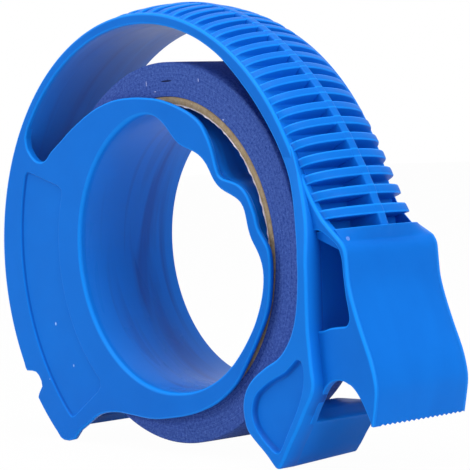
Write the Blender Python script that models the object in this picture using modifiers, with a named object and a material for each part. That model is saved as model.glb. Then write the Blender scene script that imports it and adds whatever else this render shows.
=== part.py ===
"""Masking tape applicator: a one-piece moulded plastic applicator that carries a paper-cored roll of tape.

The applicator is seen from the side in the XZ plane. +X points to the cutting head, +Z up, and Y runs along
the hub on which the roll turns, from the closed side to the open side. The origin is on the floor, under the
middle of the whole object.
"""
import math

import bmesh
import bpy
from mathutils import Matrix, Vector

# Tape roll
CORE_BORE_RADIUS = 0.0381
LINER_THICKNESS = 0.0004
BOARD_THICKNESS = 0.0018
WINDING_THICKNESS = 0.0079
TAPE_WIDTH = 0.0254
PLY_GAP = 0.0003
HANG_GAP = 0.0003
ROLL_SIDE_GAP = 0.0004

# Hub and side plate
HUB_CLEARANCE = 0.0008
HUB_WALL = 0.0014
HUB_LIP = 0.0044
PLATE_THICKNESS = 0.002
PLATE_RIM = 0.0002
FLOOR_CLEARANCE = 0.0032
RECESS_MARGIN = 0.0008
RECESS_WIDTH = 0.0175
RECESS_DEPTH = 0.0003

# Grip band over the roll
BAND_CLEARANCE = 0.0121
BAND_WALL = 0.0029
BAND_LIP = 0.0017
BAND_SETBACK = 0.0081
BAND_DROP = 0.0025
NOTCH_WIDTH = 0.006

# Grip ribs and their spine
RIB_COUNT = 22
RIB_PITCH = 0.0044
RIB_THICKNESS = 0.0022
RIB_INSET = 0.0008
RIB_STAND = 0.0005
CROWN_HEIGHT = 0.0058
SPINE_WIDTH = 0.0026
SPINE_RISE = 0.0003

# Cutting head
HEAD_DEPTH = 0.0196
HEAD_LIP = 0.0008
HEAD_WALL = 0.0021
HEAD_RIM = 0.0003
TOOTH_COUNT = 20
TOOTH_DEPTH = 0.0009

# Cheek and foot
CHEEK_STEP = 0.0035
CHEEK_FLARE_HEIGHT = 0.024
FOOT_WIDTH = 0.024
FOOT_WALL = 0.002
FOOT_POCKET_DEPTH = 0.001

# Ends of the band and of the side plate's outer edge, in degrees about the band's centre
BAND_END_DEGREES = 227.2
PLATE_END_DEGREES = 228.2
PLATE_TOP_DEGREES = 149

# Fineness of the curves
ARC_STEP_DEGREES = 4
FULL_TURN_DEGREES = 360
CURVE_STEPS = 2
CROWN_STEPS = 12
ROUND_SIDES = 96
OVERRUN = 0.002
WELD_DISTANCE = 0.00001

# Side view of the wall around the hub: angle in degrees, share of the hub radius.
# It is round but for two inward folds at the upper right, which let it be squeezed.
HUB_WALL_SHARES = (
    (0, 1.0), (5, 0.975), (10, 0.935), (16, 0.925), (22, 0.912), (28, 0.886), (33, 0.85), (38, 0.8),
    (42, 0.785), (46, 0.795), (50, 0.82), (55, 0.86), (60, 0.89), (68, 0.93), (76, 0.958), (84, 0.984),
    (92, 1.0),
)

# Edge of the side plate's hole where it leaves the round, as for the hub wall.
PLATE_HOLE_SHARES = (
    (0, 0.935), (5, 0.912), (10, 0.88), (18, 0.865), (25, 0.84), (30, 0.81), (34, 0.77), (38, 0.737),
    (44, 0.733), (50, 0.76), (57, 0.785), (64, 0.78), (72, 0.758), (78, 0.77), (82, 0.81), (87, 0.87),
    (92, 0.915), (100, 0.935), (110, 0.945),
)

# Free edge of the side plate, from the band over the hub's flange and its folds and down to the rear tip.
# Over and under the folds: angle in degrees, share of the way from the hub to the band.
PLATE_UPPER_SHARES = (
    (152.6, 1.078), (154.1, 1.026), (155.2, 0.94), (155.7, 0.857), (155.5, 0.785), (154.7, 0.721),
    (153, 0.667), (150.5, 0.633), (145, 0.535), (139, 0.46), (127.5, 0.342), (116, 0.242), (105, 0.148),
    (94, 0.073), (88, 0.038),
)
PLATE_LOWER_SHARES = (
    (3, 0.034), (-1, 0.09), (-5, 0.132), (-10, 0.155), (-16, 0.17), (-22, 0.166), (-32, 0.148),
    (-42, 0.148), (-49, 0.183), (-62, 0.177), (-74, 0.177), (-85, 0.197), (-94, 0.225), (-102, 0.267),
    (-112, 0.339), (-119, 0.434), (-125, 0.609), (-127.7, 0.823), (-129.7, 1.004),
)
# Along the folds: angle in degrees, share of the hub radius.
PLATE_FOLD_SHARES = (
    (82, 0.997), (75, 0.97), (68, 0.948), (62, 0.92), (58, 0.903), (54, 0.869), (50, 0.836),
    (46, 0.809), (42, 0.802), (38, 0.814), (34, 0.858), (29, 0.895), (25, 0.914), (21, 0.933),
    (16, 0.94), (11, 0.946), (7, 0.976),
)

# Recess for a label on the side plate: first and last angle, in degrees about the hub.
RECESS_DEGREES_SHARES = (159, 230)

# Rear tip and the notch above it: shares of the band's radius behind the hub, and of the axis height.
TIP_SHARES = ((-0.757, -1.0), (-0.713, -1.0))
NOTCH_SHARES = (
    (-1.05, -0.648), (-0.925, -0.648), (-0.911, -0.662), (-0.89, -0.698), (-0.886, -0.723),
    (-0.915, -0.752), (-0.925, -0.785), (-1.05, -0.79),
)

# Rim and crown of the ribbed grip: angle in degrees about the band's centre, share.
RIM_FLARE_SHARES = ((9, 1.075), (12, 1.045), (16, 1.022), (21, 1.006), (28, 1.0), (180, 1.0))
CROWN_SHARES = (
    (9, 0.86), (16, 1.0), (24, 0.87), (32, 0.7), (40, 0.53), (50, 0.43), (70, 0.53), (90, 0.63),
    (104, 0.5), (112, 0.2),
)

# Outlines of the head and the foot: shares of the head's reach and of the axis height.
HEAD_SKIN_SHARES = (
    (0.708, 0.235), (0.737, 0.183), (0.784, 0.123), (0.834, 0.083), (0.874, 0.056), (0.888, 0.02),
    (0.892, -0.048), (0.898, -0.135), (0.916, -0.231), (0.948, -0.352), (0.98, -0.462), (0.996, -0.55),
    (1.0, -0.615), (0.992, -0.673), (0.973, -0.777),
)
ARCH_SHARES = (
    (0.958, -0.735), (0.939, -0.663), (0.911, -0.617), (0.872, -0.575), (0.84, -0.565), (0.81, -0.577),
    (0.772, -0.629), (0.745, -0.681), (0.721, -0.729), (0.702, -0.783),
)
HEAD_PLATE_BACK_SHARES = ((0.69, -0.79), (0.725, -0.6), (0.73, -0.2), (0.72, 0.15))
WINDOW_SHARES = (
    (0.744, -0.337), (0.744, 0.087), (0.76, 0.108), (0.794, 0.072), (0.846, 0.027), (0.862, 0.002),
    (0.868, -0.03), (0.872, -0.09), (0.878, -0.154), (0.887, -0.231), (0.894, -0.287), (0.885, -0.313),
    (0.871, -0.321), (0.83, -0.323), (0.798, -0.329), (0.77, -0.344),
)
CHEEK_SHARES = (
    (0.632, 0.433), (0.672, 0.279), (0.701, 0.115), (0.714, -0.038), (0.717, -0.192), (0.705, -0.279),
    (0.693, -0.371), (0.668, -0.438), (0.608, -0.508), (0.53, -0.563), (0.467, -0.638), (0.433, -0.721),
    (0.432, -0.785), (0.454, -0.85), (0.526, -0.929), (0.568, -0.98), (0.579, -1.0), (0.605, -1.0),
    (0.619, -0.973), (0.652, -0.898), (0.683, -0.831), (0.709, -0.767), (0.734, -0.706), (0.756, -0.66),
    (0.768, -0.606), (0.768, -0.49), (0.761, -0.356), (0.754, -0.231), (0.757, -0.077), (0.752, 0.077),
    (0.725, 0.25), (0.68, 0.433),
)
FOOT_DECK_SHARES = (
    (0.3, -0.88), (0.42, -0.85), (0.448, -0.8), (0.47, -0.745), (0.51, -0.712), (0.61, -0.703),
    (0.709, -0.767), (0.9, -0.85), (0.9, 0.6), (0.3, 0.6),
)
FOOT_HOLLOW_SHARES = (
    (0.472, -0.79), (0.48, -0.83), (0.5, -0.848), (0.545, -0.892), (0.578, -0.93), (0.592, -0.938),
    (0.602, -0.93), (0.632, -0.874), (0.66, -0.81), (0.675, -0.775), (0.665, -0.755), (0.61, -0.742),
    (0.53, -0.742), (0.49, -0.758),
)
FOOT_POCKET_SHARES = (
    (0.71, -0.478), (0.726, -0.499), (0.723, -0.563), (0.715, -0.617), (0.695, -0.667), (0.668, -0.728),
    (0.642, -0.79), (0.616, -0.85), (0.595, -0.898), (0.578, -0.912), (0.553, -0.883), (0.517, -0.836),
    (0.49, -0.793), (0.477, -0.746), (0.485, -0.698), (0.506, -0.66), (0.54, -0.629), (0.591, -0.596),
    (0.639, -0.565), (0.674, -0.525), (0.695, -0.49),
)
REAR_WALL_FOOT_SHARE = -0.4
HEAD_CREASE_SHARES = (0.874, 0.056)
HOOD_STEPS_SHARES = (0.0, 0.35, 0.7, 1.0)

# Lower end of the spine, sunk into the smooth top of the head: share of the crown, degrees past its edge.
SPINE_SINK_SHARE = 0.8
SPINE_SINK_DEGREES = 1.5

# Share of a wall's thickness under which an offset point counts as folded back.
FOLD_SHARE = 0.93

# Sizes that follow the roll, which hangs on the hub and turns inside the band.
ROLL_RADIUS = CORE_BORE_RADIUS + LINER_THICKNESS + BOARD_THICKNESS + WINDING_THICKNESS + PLY_GAP * 2
ROLL_INSET = PLATE_THICKNESS + ROLL_SIDE_GAP
HUB_RADIUS = CORE_BORE_RADIUS - HUB_CLEARANCE
HUB_LENGTH = ROLL_INSET + TAPE_WIDTH + HUB_LIP
AXIS_HEIGHT = ROLL_RADIUS + FLOOR_CLEARANCE
BAND_RADIUS = ROLL_RADIUS + BAND_CLEARANCE + BAND_WALL
BAND_WIDTH = ROLL_INSET + TAPE_WIDTH + BAND_LIP
HEAD_REACH = BAND_RADIUS - BAND_SETBACK + HEAD_DEPTH
HEAD_WIDTH = BAND_WIDTH + HEAD_LIP

# Places worked out from the sizes above. The origin lies under the middle of the whole object.
REAR_REACH = BAND_RADIUS + BAND_SETBACK
AXIS_X = (REAR_REACH - HEAD_REACH) / 2
NEAR_Y = (CHEEK_STEP - HUB_LENGTH) / 2
BAND_CENTRE = Vector((AXIS_X - BAND_SETBACK, AXIS_HEIGHT - BAND_DROP))
HUB_CENTRE = Vector((AXIS_X, AXIS_HEIGHT))
ROLL_DROP = HUB_CLEARANCE - HANG_GAP


def clear_scene():
    """Remove whatever the scene starts with."""
    for old in list(bpy.data.objects):
        bpy.data.objects.remove(old, do_unlink=True)


def new_collection(name):
    """Add a collection to the scene."""
    collection = bpy.data.collections.new(name)
    bpy.context.scene.collection.children.link(collection)
    return collection


def new_material(name, colour, roughness):
    """Make a plain Principled material."""
    material = bpy.data.materials.new(name)
    material.use_nodes = True
    shader = material.node_tree.nodes["Principled BSDF"]
    shader.inputs["Base Color"].default_value = (*colour, 1.0)
    shader.inputs["Roughness"].default_value = roughness
    shader.inputs["Metallic"].default_value = 0.0
    return material


def polar(centre, radius, degrees):
    """Point in the side view at an angle about a centre."""
    angle = math.radians(degrees)
    return centre + Vector((math.cos(angle), math.sin(angle))) * radius


def arc(centre, radius, first, last):
    """Points of an arc in the side view, both ends included."""
    steps = max(2, round(abs(last - first) / ARC_STEP_DEGREES))
    return [polar(centre, radius, first + (last - first) * step / steps) for step in range(steps + 1)]


def polar_shares(centre, shares, radius, start=0.0):
    """Points in the side view from an angle and a share of the way from one radius to another."""
    return [polar(centre, start + (radius - start) * share, degrees) for degrees, share in shares]


def reach_shares(shares, reach=HEAD_REACH):
    """Points in the side view from shares of a reach in front of the hub and of the hub's height."""
    return [HUB_CENTRE + Vector((across * reach, up * AXIS_HEIGHT)) for across, up in shares]


def share_at(shares, degrees):
    """Value read along a table of angles and shares."""
    for (low, low_share), (high, high_share) in zip(shares, shares[1:]):
        if degrees <= high:
            part = max(0.0, (degrees - low) / (high - low))
            return low_share + (high_share - low_share) * part
    return shares[-1][1]


def smooth(points, closed=True):
    """Run a Catmull-Rom curve through hand-placed points."""
    count = len(points)
    result = []
    spans = count if closed else count - 1
    for index in range(spans):
        if closed:
            around = [points[(index + shift) % count] for shift in (-1, 0, 1, 2)]
        else:
            around = [points[min(max(index + shift, 0), count - 1)] for shift in (-1, 0, 1, 2)]
        before, start, end, after = around
        for step in range(CURVE_STEPS):
            t = step / CURVE_STEPS
            result.append(start + (end - before) * (t / 2)
                          + (before * 2 - start * 5 + end * 4 - after) * (t * t / 2)
                          + (start * 3 - before - end * 3 + after) * (t * t * t / 2))
    if not closed:
        result.append(points[-1])
    return result


def distance_to_line(place, points, closed):
    """Least distance from a point to a line of straight runs."""
    nearest = []
    for start, end in zip(points, points[1:] + points[:closed]):
        run = end - start
        part = min(max((place - start).dot(run) / run.length_squared, 0.0), 1.0)
        nearest.append((start + run * part - place).length)
    return min(nearest)


def offset_line(points, distance, closed=False):
    """Move a line sideways, to the right of its direction for a positive distance.

    Points that would fold back over the line inside a tight bend are left out.
    """
    count = len(points)
    moved = []
    for index, point in enumerate(points):
        before = points[(index - 1) % count] if closed or index else point
        after = points[(index + 1) % count] if closed or index < count - 1 else point
        direction = (after - before).normalized()
        place = point + Vector((direction.y, -direction.x)) * distance
        if distance_to_line(place, points, closed) > abs(distance) * FOLD_SHARE:
            moved.append(place)
    return moved


def strip(points, distance):
    """Closed outline of a wall whose one face follows the given line."""
    return points + offset_line(points, distance)[::-1]


def extruded(name, outlines, near, far, collection):
    """Solid between two planes across Y, from outlines in the side view; inner outlines are holes."""
    curve = bpy.data.curves.new(name, "CURVE")
    curve.dimensions = "2D"
    curve.fill_mode = "BOTH"
    curve.extrude = (far - near) / 2
    for outline in outlines:
        spline = curve.splines.new("POLY")
        spline.points.add(len(outline) - 1)
        for point, place in zip(spline.points, outline):
            point.co = (place.x, place.y, 0.0, 1.0)
        spline.use_cyclic_u = True
    guide = bpy.data.objects.new(name + "_outline", curve)
    collection.objects.link(guide)
    bpy.context.view_layer.update()
    evaluated = guide.evaluated_get(bpy.context.evaluated_depsgraph_get())
    mesh = bpy.data.meshes.new_from_object(evaluated)
    stand_up(mesh, near, far)
    solid = bpy.data.objects.new(name, mesh)
    collection.objects.link(solid)
    bpy.data.objects.remove(guide, do_unlink=True)
    tidy_mesh(mesh)
    return solid


def tidy_mesh(mesh):
    """Weld the caps on and turn the faces outwards."""
    work = bmesh.new()
    work.from_mesh(mesh)
    bmesh.ops.remove_doubles(work, verts=work.verts, dist=WELD_DISTANCE)
    bmesh.ops.recalc_face_normals(work, faces=work.faces)
    work.to_mesh(mesh)
    work.free()


def stand_up(mesh, near, far):
    """Turn a solid drawn flat into the side view, with every point exactly on one of its two end planes."""
    for vertex in mesh.vertices:
        across, up, depth = vertex.co
        vertex.co = (across, near if depth > 0 else far, up)


def loft(name, sections, collection, pieces=1):
    """Closed solid through rings of points; with several pieces each has an equal share of the sections."""
    work = bmesh.new()
    each = len(sections) // pieces
    for piece in range(pieces):
        rings = []
        for section in sections[piece * each:(piece + 1) * each]:
            rings.append([work.verts.new(place) for place in section])
        for one, two in zip(rings, rings[1:]):
            for index in range(len(one)):
                after = (index + 1) % len(one)
                work.faces.new((one[index], one[after], two[after], two[index]))
        work.faces.new(rings[0][::-1])
        work.faces.new(rings[-1])
    bmesh.ops.recalc_face_normals(work, faces=work.faces)
    bmesh.ops.triangulate(work, faces=work.faces)
    mesh = bpy.data.meshes.new(name)
    work.to_mesh(mesh)
    work.free()
    solid = bpy.data.objects.new(name, mesh)
    collection.objects.link(solid)
    return solid


def carve(target, cutters):
    """Cut other solids out of the target, and keep them as hidden guides."""
    for cutter in cutters:
        modifier = target.modifiers.new(cutter.name, "BOOLEAN")
        modifier.operation = "DIFFERENCE"
        modifier.solver = "EXACT"
        modifier.object = cutter
        hide(cutter)
    return target


def join(target, walls):
    """Join a collection of solids to the target in one step, and keep them as hidden guides."""
    modifier = target.modifiers.new("joined_walls", "BOOLEAN")
    modifier.operation = "UNION"
    modifier.solver = "EXACT"
    modifier.operand_type = "COLLECTION"
    modifier.collection = walls
    for wall in walls.objects:
        hide(wall)
    closing = target.modifiers.new("hair_thin_edges", "WELD")
    closing.merge_threshold = WELD_DISTANCE


def hide(guide):
    """Leave a guide out of the finished model."""
    guide.hide_render = True
    guide.display_type = "WIRE"


def build_band(collection):
    """The curved wall over the roll, which runs on as the head's rear wall."""
    arc_line = arc(BAND_CENTRE, BAND_RADIUS, BAND_END_DEGREES, 0)
    rear_wall_foot = Vector((arc_line[-1].x, AXIS_HEIGHT * (1 + REAR_WALL_FOOT_SHARE)))
    outline = strip(arc_line + [rear_wall_foot], BAND_WALL)
    return extruded("grip_band", [outline], NEAR_Y, NEAR_Y + BAND_WIDTH, collection)


def build_side_plate(cutters):
    """The flat side wall that joins the band to the hub, with the flange around the hub."""
    edge = polar_shares(HUB_CENTRE, PLATE_UPPER_SHARES, BAND_RADIUS, HUB_RADIUS)
    edge += polar_shares(HUB_CENTRE, PLATE_FOLD_SHARES, HUB_RADIUS)
    edge += polar_shares(HUB_CENTRE, PLATE_LOWER_SHARES, BAND_RADIUS, HUB_RADIUS)
    tip = reach_shares(TIP_SHARES, BAND_RADIUS)
    back = [polar(BAND_CENTRE, BAND_RADIUS, PLATE_END_DEGREES)]
    back += arc(BAND_CENTRE, BAND_RADIUS - BAND_WALL / 2, BAND_END_DEGREES, PLATE_TOP_DEGREES)
    outline = edge + tip[::-1] + back
    first_round = PLATE_HOLE_SHARES[-1][0]
    round_share = PLATE_HOLE_SHARES[-1][1]
    hole = polar_shares(HUB_CENTRE, PLATE_HOLE_SHARES, HUB_RADIUS)
    hole += arc(HUB_CENTRE, HUB_RADIUS * round_share, first_round, FULL_TURN_DEGREES)[1:-1]
    near = NEAR_Y + PLATE_RIM
    return extruded("side_plate", [outline, hole], near, NEAR_Y + PLATE_THICKNESS, cutters)


def build_hub_wall(cutters):
    """The thin wall of the hub, round but for its two folds."""
    folded = smooth(polar_shares(HUB_CENTRE, HUB_WALL_SHARES, HUB_RADIUS), closed=False)
    rest = arc(HUB_CENTRE, HUB_RADIUS, HUB_WALL_SHARES[-1][0], FULL_TURN_DEGREES)
    outer = folded + rest[1:-1]
    inner = offset_line(outer, -HUB_WALL, closed=True)
    return extruded("hub_wall", [outer, inner], NEAR_Y + PLATE_THICKNESS / 2, NEAR_Y + HUB_LENGTH, cutters)


def crown_section(root, rim, height):
    """D-shaped section across the band: flat base, elliptical crown that rises away from the root."""
    half = BAND_WIDTH / 2 - RIB_INSET
    middle = NEAR_Y + BAND_WIDTH / 2
    rise = (rim - root).normalized()
    section = []
    for step in range(CROWN_STEPS + 1):
        turn = math.pi * step / CROWN_STEPS
        place = rim + rise * (height * math.sin(turn))
        section.append(Vector((place.x, middle - half * math.cos(turn), place.y)))
    section.append(Vector((root.x, middle + half, root.y)))
    section.append(Vector((root.x, middle - half, root.y)))
    return section


def grip_sizes(degrees):
    """Rim radius and crown height of the grip at one angle."""
    rim = BAND_RADIUS * share_at(RIM_FLARE_SHARES, degrees) + RIB_STAND
    return rim, CROWN_HEIGHT * share_at(CROWN_SHARES, degrees)


def rib_angles():
    """Middle angle of each rib, from the head over the top of the band."""
    pitch = math.degrees(RIB_PITCH / BAND_RADIUS)
    return [CROWN_SHARES[0][0] + pitch * (index + 1) for index in range(RIB_COUNT)]


def build_ribs(cutters):
    """The crowned cross ribs of the grip."""
    half_turn = math.degrees(RIB_THICKNESS / BAND_RADIUS) / 2
    sections = []
    for middle in rib_angles():
        for degrees in (middle - half_turn, middle + half_turn):
            rim, crown = grip_sizes(degrees)
            root = polar(BAND_CENTRE, BAND_RADIUS - BAND_WALL / 2, degrees)
            sections.append(crown_section(root, polar(BAND_CENTRE, rim, degrees), crown))
    return loft("grip_ribs", sections, cutters, pieces=RIB_COUNT)


def build_spine(cutters):
    """The ridge that runs through the middle of the ribs, from the head to the last rib."""
    first = CROWN_SHARES[0][0]
    rim, crown = grip_sizes(first)
    outer = [polar(BAND_CENTRE, rim + crown * SPINE_SINK_SHARE, first - SPINE_SINK_DEGREES)]
    inner = [polar(BAND_CENTRE, BAND_RADIUS - BAND_WALL / 2, first - SPINE_SINK_DEGREES)]
    for degrees in [first] + rib_angles():
        rim, crown = grip_sizes(degrees)
        outer.append(polar(BAND_CENTRE, rim + crown + SPINE_RISE, degrees))
        inner.append(polar(BAND_CENTRE, BAND_RADIUS - BAND_WALL / 2, degrees))
    middle = NEAR_Y + BAND_WIDTH / 2
    outline = outer + inner[::-1]
    return extruded("grip_spine", [outline], middle - SPINE_WIDTH / 2, middle + SPINE_WIDTH / 2, cutters)


def build_hood(cutters):
    """The smooth crowned top between the last rib and the crease where the head's front begins."""
    first = CROWN_SHARES[0][0]
    crease = reach_shares((HEAD_CREASE_SHARES,))[0] - Vector((RIB_STAND, RIB_STAND))
    rim, crown = grip_sizes(first)
    start = polar(BAND_CENTRE, rim, first)
    base = polar(BAND_CENTRE, BAND_RADIUS - BAND_WALL / 2, first)
    sections = []
    for part in HOOD_STEPS_SHARES:
        rim_place = start.lerp(crease, part)
        root = base.lerp(crease - Vector((HEAD_WALL / 2, HEAD_WALL / 2)), part)
        sections.append(crown_section(root, rim_place, RIB_STAND + crown * (1 - part * part)))
    return loft("head_hood", sections, cutters)


def build_head_skin(cutters):
    """The head's top and front wall, which ends in the cutting edge."""
    line = smooth(reach_shares(HEAD_SKIN_SHARES), closed=False)
    outline = strip(line, HEAD_WALL)
    return extruded("head_skin", [outline], NEAR_Y, NEAR_Y + HEAD_WIDTH, cutters)


def build_head_plate(cutters):
    """The head's side wall, with its window and the arch over the foot."""
    front = offset_line(reach_shares(HEAD_SKIN_SHARES), HEAD_WALL / 2)[1:-1]
    outline = front + reach_shares(ARCH_SHARES + HEAD_PLATE_BACK_SHARES)
    window = smooth(reach_shares(WINDOW_SHARES))
    near = NEAR_Y + HEAD_RIM
    return extruded("head_plate", [outline, window], near, near + PLATE_THICKNESS, cutters)


def build_cheek(cutters):
    """The proud side wall that runs from the band's rim down into the foot, as deep as the foot is wide."""
    outline = smooth(reach_shares(CHEEK_SHARES))
    outline = [point for point in outline if point.y >= 0]
    near = NEAR_Y - CHEEK_STEP
    return extruded("cheek", [outline], near, near + FOOT_WIDTH, cutters)


def build_foot_deck(cutters):
    """Cutter that leaves the cheek as a plain wall above the foot's deck."""
    outline = reach_shares(FOOT_DECK_SHARES)
    far = NEAR_Y - CHEEK_STEP + FOOT_WIDTH + OVERRUN
    return extruded("foot_deck", [outline], NEAR_Y + PLATE_THICKNESS, far, cutters)


def build_cheek_flare(cutters):
    """Cutter that slopes the cheek's upper end back to the band's rim."""
    bpy.ops.mesh.primitive_cube_add(size=1)
    cutter = bpy.context.object
    cutter.name = "cheek_flare"
    slope = math.atan2(CHEEK_STEP, CHEEK_FLARE_HEIGHT)
    size = AXIS_HEIGHT
    turn = Matrix.Rotation(-slope, 4, "X")
    shape = turn @ Matrix.Translation((0.0, -size / 2, size / 2)) @ Matrix.Diagonal((size, size, size, 1.0))
    start = Vector((AXIS_X + BAND_RADIUS, NEAR_Y - CHEEK_STEP, AXIS_HEIGHT))
    cutter.data.transform(Matrix.Translation(start) @ shape)
    for collection in list(cutter.users_collection):
        collection.objects.unlink(cutter)
    cutters.objects.link(cutter)
    return cutter


def build_foot_hollow(cutters):
    """Cutter for the foot's inside, open on the far side."""
    outline = reach_shares(FOOT_HOLLOW_SHARES)
    near = NEAR_Y - CHEEK_STEP
    return extruded("foot_hollow", [outline], near + FOOT_WALL, near + FOOT_WIDTH + OVERRUN, cutters)


def build_foot_pocket(cutters):
    """Cutter for the shallow drop-shaped pocket in the foot's near face."""
    outline = smooth(reach_shares(FOOT_POCKET_SHARES))
    near = NEAR_Y - CHEEK_STEP
    return extruded("foot_pocket", [outline], near - OVERRUN, near + FOOT_POCKET_DEPTH, cutters)


def build_label_recess(cutters):
    """Cutter for the shallow curved recess on the side plate."""
    first, last = RECESS_DEGREES_SHARES
    outer = BAND_RADIUS - RECESS_MARGIN
    outline = arc(HUB_CENTRE, outer, first, last) + arc(HUB_CENTRE, outer - RECESS_WIDTH, last, first)
    near = NEAR_Y + PLATE_RIM
    return extruded("label_recess", [outline], near - OVERRUN, near + RECESS_DEPTH, cutters)


def build_notch(cutters):
    """Cutter for the notch in the side plate and the band's near rim, above the rear tip."""
    outline = reach_shares(NOTCH_SHARES, BAND_RADIUS)
    return extruded("rear_notch", [outline], NEAR_Y - OVERRUN, NEAR_Y + NOTCH_WIDTH, cutters)


def build_teeth(cutters):
    """Cutter that leaves a row of pointed teeth along the head's lower edge."""
    edge = reach_shares((HEAD_SKIN_SHARES[-1],))[0]
    pitch = HEAD_WIDTH / TOOTH_COUNT
    work = bmesh.new()
    for index in range(TOOTH_COUNT + 1):
        middle = NEAR_Y + pitch * index
        corners = ((middle - pitch / 2, -OVERRUN), (middle, TOOTH_DEPTH), (middle + pitch / 2, -OVERRUN))
        rings = []
        for across in (edge.x - HEAD_WALL - OVERRUN, edge.x + OVERRUN):
            rings.append([work.verts.new((across, y, edge.y + up)) for y, up in corners])
        near, far = rings
        work.faces.new(near)
        work.faces.new(far[::-1])
        for corner in range(3):
            after = (corner + 1) % 3
            work.faces.new((near[after], near[corner], far[corner], far[after]))
    bmesh.ops.recalc_face_normals(work, faces=work.faces)
    mesh = bpy.data.meshes.new("tooth_gaps")
    work.to_mesh(mesh)
    work.free()
    cutter = bpy.data.objects.new("tooth_gaps", mesh)
    cutters.objects.link(cutter)
    return cutter


def build_applicator(collection, walls, cutters):
    """Carve the walls and join them into the one-piece moulding."""
    carve(build_side_plate(walls), [build_label_recess(cutters)])
    carve(build_head_skin(walls), [build_teeth(cutters)])
    foot_cutters = [build_foot_deck(cutters), build_cheek_flare(cutters),
                    build_foot_hollow(cutters), build_foot_pocket(cutters)]
    carve(build_cheek(walls), foot_cutters)
    for build in (build_hub_wall, build_ribs, build_spine, build_hood, build_head_plate):
        build(walls)
    body = build_band(collection)
    body.name = "applicator_body"
    join(body, walls)
    carve(body, [build_notch(cutters)])
    body.data.materials.clear()
    body.data.materials.append(new_material("blue_polypropylene", (0.02, 0.2, 0.72), 0.38))


def build_ring(name, inner, outer, material, collection):
    """A ring of the roll, turned about the roll's own axis."""
    profile = bpy.data.meshes.new(name)
    half = TAPE_WIDTH / 2
    corners = ((inner, half), (outer, half), (outer, -half), (inner, -half))
    edges = ((0, 1), (1, 2), (2, 3), (3, 0))
    profile.from_pydata([(x, 0.0, z) for x, z in corners], edges, [])
    ring = bpy.data.objects.new(name, profile)
    ring.location = (AXIS_X, NEAR_Y + ROLL_INSET + half, AXIS_HEIGHT - ROLL_DROP)
    ring.rotation_euler = (math.radians(90), 0.0, 0.0)
    screw = ring.modifiers.new("turn", "SCREW")
    screw.steps = ROUND_SIDES
    screw.render_steps = ROUND_SIDES
    screw.use_merge_vertices = True
    screw.merge_threshold = WELD_DISTANCE
    screw.use_smooth_shade = True
    ring.data.materials.append(material)
    collection.objects.link(ring)


def build_roll(collection):
    """The paper core, in two plies, and the tape wound on it."""
    liner_outer = CORE_BORE_RADIUS + LINER_THICKNESS
    board_inner = liner_outer + PLY_GAP
    board_outer = board_inner + BOARD_THICKNESS
    winding_inner = board_outer + PLY_GAP
    white = new_material("white_paper", (0.78, 0.76, 0.8), 0.8)
    brown = new_material("brown_board", (0.4, 0.3, 0.2), 0.85)
    blue = new_material("blue_crepe_tape", (0.07, 0.1, 0.4), 0.7)
    build_ring("core_liner", CORE_BORE_RADIUS, liner_outer, white, collection)
    build_ring("core_board", board_inner, board_outer, brown, collection)
    build_ring("tape_winding", winding_inner, ROLL_RADIUS, blue, collection)


def main():
    clear_scene()
    parts = new_collection("masking_tape_applicator")
    walls = new_collection("walls")
    cutters = new_collection("cutters")
    build_applicator(parts, walls, cutters)
    build_roll(parts)


main()
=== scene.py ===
"""Masking tape applicator with its roll: one blue moulding, a paper core in two plies and the wound tape.

Metres, +Z up, +X to the cutting head, +Y along the hub to its open side. The object is drawn in the side
view, seen along +Y, about the middle of the hub, and each wall is raised from that view across Y.
"""
import math

import bmesh
import bpy
from mathutils import Matrix, Vector


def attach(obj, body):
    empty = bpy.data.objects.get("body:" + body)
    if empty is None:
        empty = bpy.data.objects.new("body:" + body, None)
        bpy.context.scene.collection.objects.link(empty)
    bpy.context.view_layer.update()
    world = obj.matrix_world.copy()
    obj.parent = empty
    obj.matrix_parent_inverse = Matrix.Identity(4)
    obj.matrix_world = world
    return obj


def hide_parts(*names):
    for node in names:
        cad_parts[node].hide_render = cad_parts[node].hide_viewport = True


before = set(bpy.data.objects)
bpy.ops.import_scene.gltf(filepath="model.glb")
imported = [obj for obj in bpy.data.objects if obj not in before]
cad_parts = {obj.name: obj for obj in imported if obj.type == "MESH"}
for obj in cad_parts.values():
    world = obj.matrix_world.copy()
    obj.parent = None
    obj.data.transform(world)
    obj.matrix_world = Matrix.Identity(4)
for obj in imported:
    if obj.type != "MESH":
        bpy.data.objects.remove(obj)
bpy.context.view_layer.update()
MM = 0.001

# Stand: a plain white floor that keeps a soft shadow, and a white surround for the camera and for gloss.
# Everything that lights the object by diffuse light is kept at a plain level.


def node(tree, kind, inputs=None, **settings):
    """Add a shader node with its settings and socket values; a value may be another node's socket."""
    made = tree.nodes.new("ShaderNode" + kind)
    for name, value in settings.items():
        setattr(made, name, value)
    for key, value in (inputs or {}).items():
        if isinstance(value, bpy.types.NodeSocket):
            tree.links.new(value, made.inputs[key])
        else:
            made.inputs[key].default_value = value
    return made


def seen_straight(tree):
    """1 for what the camera, gloss and clear material see, 0 for what diffuse light sees."""
    path = node(tree, "LightPath")
    seen = node(tree, "Math", {0: path.outputs["Is Camera Ray"], 1: path.outputs["Is Glossy Ray"]},
                operation="ADD")
    seen = node(tree, "Math", {0: seen.outputs[0], 1: path.outputs["Is Transmission Ray"]},
                operation="ADD", use_clamp=True)
    return seen.outputs[0]


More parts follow.
